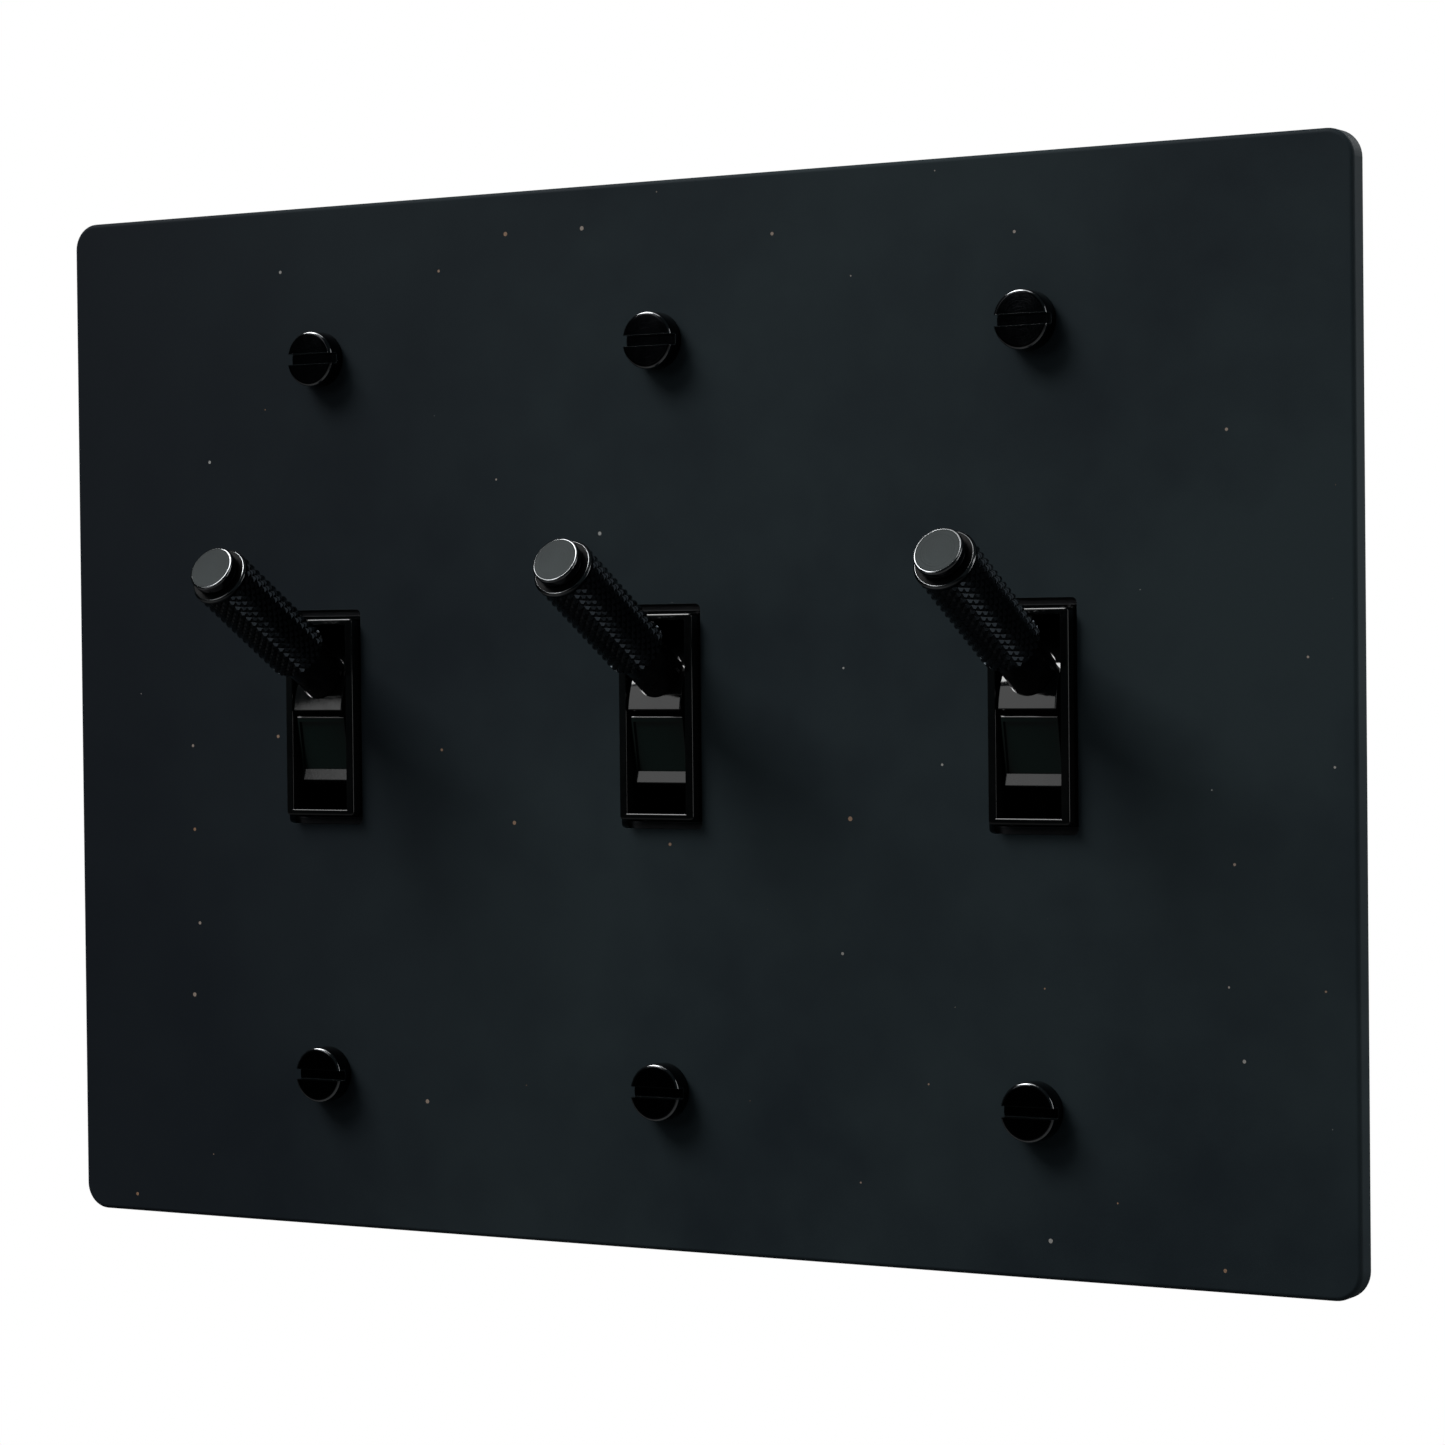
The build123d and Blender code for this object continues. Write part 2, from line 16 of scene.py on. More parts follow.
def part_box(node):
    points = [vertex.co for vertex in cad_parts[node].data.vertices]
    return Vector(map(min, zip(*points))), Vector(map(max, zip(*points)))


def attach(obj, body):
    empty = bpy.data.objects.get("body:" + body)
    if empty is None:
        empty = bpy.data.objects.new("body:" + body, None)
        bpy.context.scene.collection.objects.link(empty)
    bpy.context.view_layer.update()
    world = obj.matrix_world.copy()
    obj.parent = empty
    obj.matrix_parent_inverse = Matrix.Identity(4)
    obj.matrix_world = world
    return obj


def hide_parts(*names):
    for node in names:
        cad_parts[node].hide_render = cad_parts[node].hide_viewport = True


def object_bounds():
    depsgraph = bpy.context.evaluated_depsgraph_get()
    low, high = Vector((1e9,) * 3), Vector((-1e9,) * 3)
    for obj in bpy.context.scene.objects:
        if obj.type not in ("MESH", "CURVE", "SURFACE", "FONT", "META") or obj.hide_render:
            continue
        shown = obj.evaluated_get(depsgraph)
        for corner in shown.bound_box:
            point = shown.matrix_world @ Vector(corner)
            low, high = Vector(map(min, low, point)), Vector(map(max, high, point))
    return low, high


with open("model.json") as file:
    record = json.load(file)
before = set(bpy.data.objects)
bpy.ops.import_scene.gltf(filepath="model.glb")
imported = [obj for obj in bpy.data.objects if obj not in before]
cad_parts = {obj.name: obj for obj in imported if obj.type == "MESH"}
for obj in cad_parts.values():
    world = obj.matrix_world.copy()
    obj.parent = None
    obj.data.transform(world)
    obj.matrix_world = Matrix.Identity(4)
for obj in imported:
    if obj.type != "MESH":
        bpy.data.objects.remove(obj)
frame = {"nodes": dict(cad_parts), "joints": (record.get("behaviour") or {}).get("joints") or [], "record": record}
cad_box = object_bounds()
MM = 0.001
GANGS = ("left", "middle", "right")
nodes = frame["nodes"]
joints = {joint["name"]: joint for joint in frame["joints"]}

# %% [markdown]
# ## Camera
# A product picture of a wall plate is taken from one side, so that the levers stand off the plate and the
# plate's edge shows. The camera stands level with the plate, about thirty degrees to its right, and its long
# lens keeps the plate's sides nearly parallel. A camera could be aimed with a tracking constraint, but a
# matrix made from three directions also takes the slight roll, and says exactly where the camera stands.

# %% Aim the camera
AZIMUTH = radians(30.73)
ELEVATION = radians(0.97)
ROLL = radians(-0.59)
DISTANCE = 0.4589
LENS = 103.15
SENSOR = 36.0
AIM = Vector((0.0065, 0.0, -0.0007))

backwards = Vector((sin(AZIMUTH) * cos(ELEVATION), -cos(AZIMUTH) * cos(ELEVATION), sin(ELEVATION)))
level_right = Vector((cos(AZIMUTH), sin(AZIMUTH), 0))
level_up = backwards.cross(level_right)
right = cos(ROLL) * level_right + sin(ROLL) * level_up
up = cos(ROLL) * level_up - sin(ROLL) * level_right
camera_data = bpy.data.cameras.new("studio_camera")
camera_data.sensor_width = SENSOR
camera_data.lens = LENS
camera_data.clip_end = 100.0
camera = bpy.data.objects.new("studio_camera", camera_data)
turn = Matrix((right, up, backwards)).transposed().to_4x4()
camera.matrix_world = Matrix.Translation(AIM + DISTANCE * backwards) @ turn
bpy.context.scene.collection.objects.link(camera)
bpy.context.scene.camera = camera
print("camera at", [round(value, 3) for value in camera.matrix_world.translation])

# %% [markdown]
# ## Floor and light
# A black object on a white ground is lit by what it reflects. One large soft box above and to the left gives
# the plate its tone, the levers their shine, and the shadows that fall down and to the right. Smaller boxes
# at the left front, above and below it draw the thin light lines on the moulded and plated edges, and a panel
# at the right lights the plate's side. The world adds almost nothing, because a bright world would turn matt
# black into grey: it and the pale floor are white only where the camera looks straight at them. The floor
# lies well below the plate, which hangs in the air as on a wall.

# %% World and floor
scene = bpy.context.scene
scene.view_settings.view_transform = "Standard"
WORLD_STRENGTH = 0.03
COOL_WHITE = (0.72, 0.93, 1, 1)
FLOOR_GREY = 0.14
FLOOR_DROP = 0.5
FLOOR_RADIUS = 30.0


def link(tree, source, target):
    """Join an output socket to an input socket."""
    tree.links.new(source, target)


def white_to_camera(tree, plain, white, output):
    """Show one shader to the camera and another to every other ray."""
    ray = tree.nodes.new("ShaderNodeLightPath")
    pick = tree.nodes.new("ShaderNodeMixShader")
    end = tree.nodes.new(output)
    link(tree, ray.outputs["Is Camera Ray"], pick.inputs["Fac"])
    link(tree, plain.outputs[0], pick.inputs[1])
    link(tree, white.outputs[0], pick.inputs[2])
    link(tree, pick.outputs["Shader"], end.inputs["Surface"])


world = bpy.data.worlds.new("studio")
world.use_nodes = True
scene.world = world
sky = world.node_tree
sky.nodes.clear()
dim_air = sky.nodes.new("ShaderNodeBackground")
dim_air.inputs["Strength"].default_value = WORLD_STRENGTH
dim_air.inputs["Color"].default_value = COOL_WHITE
white_air = sky.nodes.new("ShaderNodeBackground")
white_air.inputs["Color"].default_value = (1, 1, 1, 1)
white_to_camera(sky, dim_air, white_air, "ShaderNodeOutputWorld")

floor_height = cad_box[0].z - FLOOR_DROP
bpy.ops.mesh.primitive_circle_add(
    vertices=96, radius=FLOOR_RADIUS, fill_type="NGON", location=(0, 0, floor_height))
floor = bpy.context.object
floor.name = "studio_floor"
pale = bpy.data.materials.new("pale_floor")
pale.use_nodes = True
pale.node_tree.nodes.clear()
floor_paint = pale.node_tree.nodes.new("ShaderNodeBsdfDiffuse")
floor_paint.inputs["Color"].default_value = (FLOOR_GREY, FLOOR_GREY, FLOOR_GREY, 1)
floor_glow = pale.node_tree.nodes.new("ShaderNodeEmission")
white_to_camera(pale.node_tree, floor_paint, floor_glow, "ShaderNodeOutputMaterial")
floor.data.materials.append(pale)
print("floor at", round(floor_height, 3), "m")

# %% Lamps
def soft_box(name, azimuth, elevation, distance, width, height, power):
    """An area lamp that faces the middle of the plate from one direction, in degrees."""
    lamp = bpy.data.lights.new(name, "AREA")
    lamp.shape = "RECTANGLE"
    lamp.size = width
    lamp.size_y = height
    lamp.energy = power
    turn = radians(azimuth)
    lift = radians(elevation)
    away = Vector((sin(turn) * cos(lift), -cos(turn) * cos(lift), sin(lift)))
    stand = bpy.data.objects.new(name, lamp)
    facing = away.to_track_quat("Z", "Y").to_matrix().to_4x4()
    stand.matrix_world = Matrix.Translation(away * distance) @ facing
    scene.collection.objects.link(stand)
    print(name, power, "W")


soft_box("key_box", -50, 49, 2.0, 0.82, 0.82, 27.0)
soft_box("left_strip", -31, 22, 1.0, 0.30, 0.46, 0.68)
soft_box("top_box", -31, 68, 1.0, 0.5, 0.55, 1.6)
soft_box("right_panel", 88, 12, 1.0, 0.5, 0.9, 2.4)
soft_box("low_strip", -31, -62, 1.0, 0.5, 0.12, 0.30)
soft_box("back_key", 150, 35, 1.2, 0.7, 0.7, 9.0)
soft_box("back_fill", -140, 20, 1.2, 0.5, 0.7, 3.0)

# %% [markdown]
# ## Shared effects
# Real finishes share a few habits: a tone that drifts across the piece, a fine grain, edges that wear, and
# specks of dust. Each is a small node group with named sliders, so one effect can serve the powder coat and
# the plated steel alike. The groups only work out masks and heights; each material keeps its own shader,
# because an exporter reads the shader only when it stands in the material itself.

# %% Helpers for node groups
def new_group(name, inputs, outputs):
    """A shader node group with number inputs and outputs, its two ends already in place."""
    group = bpy.data.node_groups.new(name, "ShaderNodeTree")
    for label, value in inputs:
        socket = group.interface.new_socket(label, in_out="INPUT", socket_type="NodeSocketFloat")
        socket.default_value = value
    for label in outputs:
        group.interface.new_socket(label, in_out="OUTPUT", socket_type="NodeSocketFloat")
    start = group.nodes.new("NodeGroupInput")
    finish = group.nodes.new("NodeGroupOutput")
    return group, start.outputs, finish.inputs


def plug(tree, value, socket):
    """Feed a socket from another socket, or set it to a plain value."""
    if isinstance(value, (int, float)):
        socket.default_value = value
    elif isinstance(value, tuple):
        socket.default_value = (*value, 1.0) if len(socket.default_value) == 4 else value
    else:
        link(tree, value, socket)


def maths(tree, operation, *operands):
    """A math node; each operand is a socket or a number."""
    node = tree.nodes.new("ShaderNodeMath")
    node.operation = operation
    for operand, socket in zip(operands, node.inputs):
        plug(tree, operand, socket)
    return node.outputs["Value"]


def per_metre(tree, size_mm):
    """Turn the size of a feature in millimetres into a texture scale."""
    return maths(tree, "DIVIDE", 1000.0, size_mm)


def object_place(tree):
    """Where a surface point is on its own piece, in metres."""
    return tree.nodes.new("ShaderNodeTexCoord").outputs["Object"]


def noise(tree, place, scale, detail=2.0):
    """Soft noise from 0 to 1."""
    node = tree.nodes.new("ShaderNodeTexNoise")
    node.inputs["Detail"].default_value = detail
    link(tree, place, node.inputs["Vector"])
    plug(tree, scale, node.inputs["Scale"])
    return node.outputs["Fac"]


def remap(tree, value, source, target):
    """Stretch one range of a value over another, and hold it there."""
    node = tree.nodes.new("ShaderNodeMapRange")
    link(tree, value, node.inputs["Value"])
    labels = ("From Min", "From Max", "To Min", "To Max")
    for label, number in zip(labels, (*source, *target)):
        node.inputs[label].default_value = number
    return node.outputs["Result"]


# %% Group: tone drift
def make_tone_drift():
    """Cloudy patches with a finer mottle on top, from 0 to 1."""
    group, given, result = new_group(
        "tone_drift", [("Patch Size mm", 30.0), ("Mottle Size mm", 3.0), ("Mottle Share", 0.3)], ["Drift"])
    place = object_place(group)
    patches = noise(group, place, per_metre(group, given["Patch Size mm"]), 1.0)
    mottle = noise(group, place, per_metre(group, given["Mottle Size mm"]), 3.0)
    difference = maths(group, "SUBTRACT", mottle, patches)
    blend = maths(group, "MULTIPLY_ADD", difference, given["Mottle Share"], patches)
    link(group, remap(group, blend, (0.36, 0.64), (0.0, 1.0)), result["Drift"])
    return group


tone_drift = make_tone_drift()

# %% Group: fine grain
def make_fine_grain():
    """The grain of a sprayed or moulded skin over its longer orange peel, as a height from 0 to 1."""
    group, given, result = new_group(
        "fine_grain", [("Grain Size mm", 0.3), ("Peel Size mm", 1.5), ("Peel Share", 0.5)], ["Height"])
    place = object_place(group)
    grain = noise(group, place, per_metre(group, given["Grain Size mm"]), 2.0)
    peel = noise(group, place, per_metre(group, given["Peel Size mm"]), 1.0)
    difference = maths(group, "SUBTRACT", peel, grain)
    link(group, maths(group, "MULTIPLY_ADD", difference, given["Peel Share"], grain), result["Height"])
    return group


fine_grain = make_fine_grain()

# %% [markdown]
# Dust is a lottery: the face is divided into cells, and a cell draws whether it holds a speck, how large it
# is and what tint it has. A flat pattern is used, in the plane of the plate, because a pattern in space would
# cut most of its specks away above or below the surface.

# %% Group: dust specks
def make_dust():
    """Sparse round specks on a face that looks along Y, with a tint number for each."""
    group, given, result = new_group(
        "dust_specks", [("Spacing mm", 8.0), ("Speck Size mm", 0.25), ("Kept Share", 0.4)], ["Mask", "Tint"])
    apart = group.nodes.new("ShaderNodeSeparateXYZ")
    link(group, object_place(group), apart.inputs["Vector"])
    flat = group.nodes.new("ShaderNodeCombineXYZ")
    link(group, apart.outputs["X"], flat.inputs["X"])
    link(group, apart.outputs["Z"], flat.inputs["Y"])
    cells = group.nodes.new("ShaderNodeTexVoronoi")
    cells.voronoi_dimensions = "2D"
    link(group, flat.outputs["Vector"], cells.inputs["Vector"])
    link(group, per_metre(group, given["Spacing mm"]), cells.inputs["Scale"])
    draws = group.nodes.new("ShaderNodeSeparateColor")
    link(group, cells.outputs["Color"], draws.inputs["Color"])
    radius = maths(group, "DIVIDE", given["Speck Size mm"], given["Spacing mm"])
    own_radius = maths(group, "MULTIPLY", radius, draws.outputs["Green"])
    inside = maths(group, "LESS_THAN", cells.outputs["Distance"], own_radius)
    kept = maths(group, "LESS_THAN", draws.outputs["Red"], given["Kept Share"])
    link(group, maths(group, "MULTIPLY", inside, kept), result["Mask"])
    link(group, draws.outputs["Blue"], result["Tint"])
    return group


dust_specks = make_dust()

# %% [markdown]
# ## Worn edges
# Paint and plating thin out over a sharp corner, and a moulded edge polishes with handling. A bevel shader
# node looks a fraction of a millimetre round each point: where its rounded normal leans away from the true
# one, an edge is near. Painting a mask by hand would give more say, but this one follows every piece.

# %% Group: edge wear
def make_edge_wear():
    """1 on an edge and 0 on open ground, broken up by noise."""
    group, given, result = new_group(
        "edge_wear", [("Reach mm", 0.3), ("Breakup Size mm", 0.8), ("Breakup", 0.5)], ["Mask"])
    rounded = group.nodes.new("ShaderNodeBevel")
    rounded.samples = 6
    link(group, maths(group, "MULTIPLY", given["Reach mm"], MM), rounded.inputs["Radius"])
    true = group.nodes.new("ShaderNodeNewGeometry")
    lean = group.nodes.new("ShaderNodeVectorMath")
    lean.operation = "DOT_PRODUCT"
    link(group, rounded.outputs["Normal"], lean.inputs[0])
    link(group, true.outputs["Normal"], lean.inputs[1])
    edge = remap(group, lean.outputs["Value"], (0.99, 0.84), (0.0, 1.0))
    flakes = noise(group, object_place(group), per_metre(group, given["Breakup Size mm"]), 3.0)
    lost = maths(group, "MULTIPLY", maths(group, "SUBTRACT", 1.0, flakes), given["Breakup"])
    link(group, maths(group, "MULTIPLY", edge, maths(group, "SUBTRACT", 1.0, lost)), result["Mask"])
    return group


edge_wear = make_edge_wear()

# %% [markdown]
# ## Turning marks and drawn streaks
# A disc faced on a lathe keeps fine rings round its axis, and strip steel keeps fine streaks along the way it
# was rolled. Rings need an axis, so every turned piece below is made in its own frame, with its axis along
# its own Z, and the rings are noise that only knows the distance from that axis.

# %% Groups: turning marks and drawn streaks
def make_turning_marks():
    """Fine rings round a piece's own Z axis, from 0 to 1."""
    group, given, result = new_group("turning_marks", [("Ring Size mm", 0.12)], ["Rings"])
    apart = group.nodes.new("ShaderNodeSeparateXYZ")
    link(group, object_place(group), apart.inputs["Vector"])
    across = maths(group, "MULTIPLY", apart.outputs["X"], apart.outputs["X"])
    squares = maths(group, "MULTIPLY_ADD", apart.outputs["Y"], apart.outputs["Y"], across)
    rings = group.nodes.new("ShaderNodeTexNoise")
    rings.noise_dimensions = "1D"
    rings.inputs["Detail"].default_value = 3.0
    reach = maths(group, "ADD", maths(group, "SQRT", squares), apart.outputs["Z"])
    link(group, reach, rings.inputs["W"])
    link(group, per_metre(group, given["Ring Size mm"]), rings.inputs["Scale"])
    link(group, rings.outputs["Fac"], result["Rings"])
    return group


def make_drawn_streaks():
    """Fine streaks along Z, from 0 to 1."""
    group, given, result = new_group("drawn_streaks", [("Width mm", 0.15), ("Length mm", 12.0)], ["Streaks"])
    apart = group.nodes.new("ShaderNodeSeparateXYZ")
    link(group, object_place(group), apart.inputs["Vector"])
    joined = group.nodes.new("ShaderNodeCombineXYZ")
    for axis, size in (("X", "Width mm"), ("Y", "Width mm"), ("Z", "Length mm")):
        stretched = maths(group, "MULTIPLY", apart.outputs[axis], per_metre(group, given[size]))
        link(group, stretched, joined.inputs[axis])
    link(group, noise(group, joined.outputs["Vector"], 1.0, 3.0), result["Streaks"])
    return group


turning_marks = make_turning_marks()
drawn_streaks = make_drawn_streaks()
print("groups:", [group.name for group in bpy.data.node_groups])

# %% [markdown]
# ## Materials
# Every finish starts from the same recipe: two tones mixed by the tone drift, a roughness that drifts with
# them, a bump from the grain, and a rubbed tone on the edges. A recipe keeps the finishes alike in build and
# different only in their numbers, and what is special, such as the dust on the plate or the rings on a turned
# disc, is added afterwards.

# %% The finish recipe
def place_group(tree, group, **values):
    """Put a node group in a material and set its sliders, their names written with low lines."""
    node = tree.nodes.new("ShaderNodeGroup")
    node.node_tree = group
    for label, value in values.items():
        node.inputs[label.replace("_", " ")].default_value = value
    return node.outputs


def blend_colours(tree, factor, first, second):
    """Mix two colours, each a socket or three numbers."""
    node = tree.nodes.new("ShaderNodeMix")
    node.data_type = "RGBA"
    link(tree, factor, node.inputs["Factor"])
    plug(tree, first, node.inputs[6])
    plug(tree, second, node.inputs[7])
    return node.outputs[2]


class Finish:
    """One material: the recipe's nodes, and the sockets that a special effect can build on."""

    def __init__(self, name, dark, light, rubbed, rough, metallic=0.0, specular=0.5, patch=20.0, mottle=2.0,
                 share=0.35, grain=0.2, peel=1.2, peel_share=0.4, bump=0.01, wear=0.5, reach=0.2):
        self.material = bpy.data.materials.new(name)
        self.material.use_nodes = True
        self.tree = self.material.node_tree
        self.shader = self.tree.nodes["Principled BSDF"].inputs
        self.shader["Metallic"].default_value = metallic
        self.shader["Specular IOR Level"].default_value = specular
        tree = self.tree
        self.drift = place_group(
            tree, tone_drift, Patch_Size_mm=patch, Mottle_Size_mm=mottle, Mottle_Share=share)["Drift"]
        skin = place_group(tree, fine_grain, Grain_Size_mm=grain, Peel_Size_mm=peel, Peel_Share=peel_share)
        edges = place_group(tree, edge_wear, Reach_mm=reach, Breakup_Size_mm=mottle, Breakup=0.6)
        self.body_tone = blend_colours(tree, self.drift, dark, light)
        self.edge = maths(tree, "MULTIPLY", edges["Mask"], wear)
        self.rubbed = rubbed
        self.height = skin["Height"]
        self.rough = remap(tree, self.drift, (0.0, 1.0), rough)
        self.bump = bump

    def finish(self):
        """Join what the recipe and the special effects made to the shader."""
        tree = self.tree
        link(tree, blend_colours(tree, self.edge, self.body_tone, self.rubbed), self.shader["Base Color"])
        link(tree, self.rough, self.shader["Roughness"])
        relief = tree.nodes.new("ShaderNodeBump")
        relief.inputs["Distance"].default_value = self.bump * MM
        link(tree, self.height, relief.inputs["Height"])
        link(tree, relief.outputs["Normal"], self.shader["Normal"])
        return self.material


# %% [markdown]
# ### Powder-coated plate
# The plate is metal under a matt blue-black powder coat: almost no shine, a cloudy drift of tone, and a
# scatter of pale and rusty specks. The specks could be separate tiny pieces, but they have no height worth
# modelling, so they only change the colour. The tone also deepens towards the left side. On a real plate that
# would be the light falling off, and a smaller lamp could do it, but here it is put in the colour, so it
# stays in any light.

# %% Plate finish
DEEP_TO_FULL = (-0.0825, 0.0)
FULL_SHARE = (0.15, 1.0)
DEEP_TONE = (0.0070, 0.0102, 0.0152)
RUSTY_DUST = (0.34, 0.20, 0.12)
PALE_DUST = (0.40, 0.41, 0.40)


def make_powder_coat():
    """Matt blue-black powder coat with dust."""
    coat = Finish(
        "powder_coat", (0.0138, 0.0216, 0.0274), (0.0250, 0.0376, 0.0430), (0.045, 0.055, 0.060),
        (0.62, 0.74), specular=0.12, patch=46.0, mottle=7.0, share=0.30, grain=0.16, peel=0.9, bump=0.010,
        wear=0.4)
    apart = coat.tree.nodes.new("ShaderNodeSeparateXYZ")
    link(coat.tree, object_place(coat.tree), apart.inputs["Vector"])
    full = remap(coat.tree, apart.outputs["X"], DEEP_TO_FULL, FULL_SHARE)
    coat.body_tone = blend_colours(coat.tree, full, DEEP_TONE, coat.body_tone)
    specks = place_group(coat.tree, dust_specks, Spacing_mm=11.0, Speck_Size_mm=0.25, Kept_Share=0.36)
    tints = blend_colours(coat.tree, specks["Tint"], RUSTY_DUST, PALE_DUST)
    coat.body_tone = blend_colours(coat.tree, specks["Mask"], coat.body_tone, tints)
    return coat.finish()


powder_coat = make_powder_coat()

# %% [markdown]
# ### Moulded plastics
# The collars and the rockers behind the levers are glossy black mouldings, so they aren't metallic, and they
# get their lines of light from clear reflections on small round edges. The sunk panels on a rocker's two
# skirts are etched in the mould, which leaves them duller and a little green. They are found by the angle
# between the surface and the lever: only the panels stand at that angle, so no second material is needed on
# the same piece.

# %% Plastic finishes
LEVER_TILT = radians(joints["left_lever_pivot"]["range_deg"][1] / 2)
ALONG_LEVER = Vector((0, -cos(LEVER_TILT), sin(LEVER_TILT)))
SKIRT_LEAN = radians(9.6)
SKIRT_ANGLE = LEVER_TILT + SKIRT_LEAN
ANGLE_SLACK = 0.012
PANEL_TONE = (0.0012, 0.0078, 0.0062)
PANEL_ROUGH = 0.10


def facing_along(tree, direction):
    """How far the surface faces one direction of the piece, as a cosine."""
    spot = tree.nodes.new("ShaderNodeTexCoord")
    facing = tree.nodes.new("ShaderNodeVectorMath")
    facing.operation = "DOT_PRODUCT"
    facing.inputs[1].default_value = direction
    link(tree, spot.outputs["Normal"], facing.inputs[0])
    return facing.outputs["Value"]


def make_gloss_moulding(name, etched):
    """Glossy black moulding, with duller skirt panels where they are wanted."""
    skin = Finish(
        name, (0.0022, 0.0026, 0.0028), (0.0042, 0.0046, 0.0046), (0.014, 0.014, 0.014), (0.05, 0.11),
        patch=9.0, mottle=1.2, grain=0.3, peel=2.5, peel_share=0.8, bump=0.004)
    if etched:
        facing = facing_along(skin.tree, ALONG_LEVER)
        panel = maths(skin.tree, "COMPARE", facing, cos(SKIRT_ANGLE), ANGLE_SLACK)
        skin.body_tone = blend_colours(skin.tree, panel, skin.body_tone, PANEL_TONE)
        extra = maths(skin.tree, "MULTIPLY", panel, PANEL_ROUGH)
        skin.rough = maths(skin.tree, "ADD", skin.rough, extra)
    return skin.finish()


gloss_moulding = make_gloss_moulding("gloss_moulding", etched=False)
rocker_moulding = make_gloss_moulding("rocker_moulding", etched=True)
matt_moulding = Finish(
    "matt_moulding", (0.012, 0.013, 0.014), (0.020, 0.021, 0.022), (0.05, 0.05, 0.05), (0.42, 0.58),
    patch=16.0, grain=0.14, peel=0.8, bump=0.03).finish()
print("skirt panels stand", round(90 - SKIRT_ANGLE * 180 / pi, 1), "degrees to the lever")

# %% [markdown]
# ### Plated, turned and rolled metals
# Screws, grips and stems are metal under black plating: dark, metallic, and smooth enough to draw a thin
# light line on every edge. Where a rim or a lip is broken, the polish is brighter, so those narrow faces get
# a finish of their own. The end face of each grip, in the groove under its cap, is painted shade: it is made
# near black and dull for the darkness of that groove, so that it mirrors no lamp. The caps on the levers are
# turned discs with fine rings. The parts inside the wall are plain: black-coated and rolled strip for the
# straps, brass for what carries current, silver alloy where contacts meet, zinc on the rivets, and a green
# earth screw.

# %% Metal finishes
def turned_metal(name, dark, light, rubbed, rough, ring=0.10, **more):
    """A metal with fine turning rings in its height and its roughness."""
    metal = Finish(name, dark, light, rubbed, rough, metallic=1.0, **more)
    rings = place_group(metal.tree, turning_marks, Ring_Size_mm=ring)["Rings"]
    metal.height = maths(metal.tree, "MULTIPLY_ADD", rings, 0.8, metal.height)
    metal.rough = maths(metal.tree, "ADD", metal.rough, remap(metal.tree, rings, (0.3, 0.7), (-0.03, 0.05)))
    return metal.finish()


def rolled_metal(name, dark, light, rubbed, rough, width=0.12, length=9.0, **more):
    """A metal strip with fine streaks along the way it was rolled."""
    metal = Finish(name, dark, light, rubbed, rough, metallic=1.0, **more)
    streaks = place_group(metal.tree, drawn_streaks, Width_mm=width, Length_mm=length)["Streaks"]
    metal.height = maths(metal.tree, "MULTIPLY_ADD", streaks, 0.9, metal.height)
    shift = remap(metal.tree, streaks, (0.3, 0.7), (-0.05, 0.07))
    metal.rough = maths(metal.tree, "ADD", metal.rough, shift)
    return metal.finish()


black_plating = turned_metal(
    "black_plating", (0.014, 0.015, 0.017), (0.024, 0.025, 0.027), (0.60, 0.60, 0.60), (0.05, 0.09),
    patch=4.0, mottle=0.8, bump=0.002, wear=0.9, reach=0.16)
black_knurl = turned_metal(
    "black_knurl", (0.008, 0.010, 0.012), (0.014, 0.017, 0.020), (0.22, 0.23, 0.24), (0.13, 0.22),
    patch=5.0, mottle=0.7, bump=0.002, wear=0.15, reach=0.05)
# Painted shade: the end face of each grip, in the groove under its cap, is near black and dull, standing for the
# groove's shade and keeping the face from mirroring the key lamp.
grip_end_painted_shade = Finish(
    "grip_end_painted_shade", (0.0022, 0.0025, 0.0028), (0.0046, 0.0050, 0.0054), (0.01, 0.01, 0.01), (0.45, 0.60),
    specular=0.06, patch=3.0, mottle=0.5, bump=0.004).finish()
black_stem = Finish(
    "black_stem", (0.020, 0.021, 0.023), (0.032, 0.034, 0.036), (0.2, 0.2, 0.21), (0.18, 0.30),
    metallic=1.0, patch=6.0, bump=0.002, wear=0.3).finish()
satin_tip = turned_metal(
    "satin_tip", (0.0078, 0.0092, 0.0094), (0.0114, 0.0130, 0.0132), (0.30, 0.31, 0.32), (0.36, 0.44),
    ring=0.09, patch=3.0, mottle=0.6, bump=0.002, wear=0.55, reach=0.22)
polished_rim = turned_metal(
    "polished_rim", (0.13, 0.135, 0.14), (0.22, 0.225, 0.23), (0.45, 0.45, 0.46), (0.08, 0.14),
    patch=3.0, mottle=0.6, bump=0.001)
strap_black = rolled_metal(
    "blackened_strap", (0.030, 0.031, 0.033), (0.055, 0.056, 0.060), (0.30, 0.30, 0.31), (0.36, 0.50),
    bump=0.006, wear=0.7)
plain_brass = rolled_metal(
    "plain_brass", (0.60, 0.39, 0.14), (0.78, 0.56, 0.24), (0.88, 0.68, 0.36), (0.22, 0.38), bump=0.004)
turned_brass = turned_metal(
    "turned_brass", (0.60, 0.39, 0.14), (0.78, 0.56, 0.24), (0.88, 0.68, 0.36), (0.20, 0.34), bump=0.003)
silver_alloy = Finish(
    "silver_alloy", (0.62, 0.62, 0.60), (0.80, 0.80, 0.78), (0.88, 0.88, 0.86), (0.20, 0.34),
    metallic=1.0, bump=0.004).finish()
spring_wire = Finish(
    "spring_wire", (0.30, 0.30, 0.31), (0.48, 0.48, 0.49), (0.60, 0.60, 0.60), (0.22, 0.34),
    metallic=1.0, bump=0.003).finish()
bright_zinc = Finish(
    "bright_zinc", (0.46, 0.47, 0.49), (0.66, 0.67, 0.69), (0.78, 0.78, 0.79), (0.24, 0.42),
    metallic=1.0, patch=3.0, mottle=0.6, bump=0.006).finish()
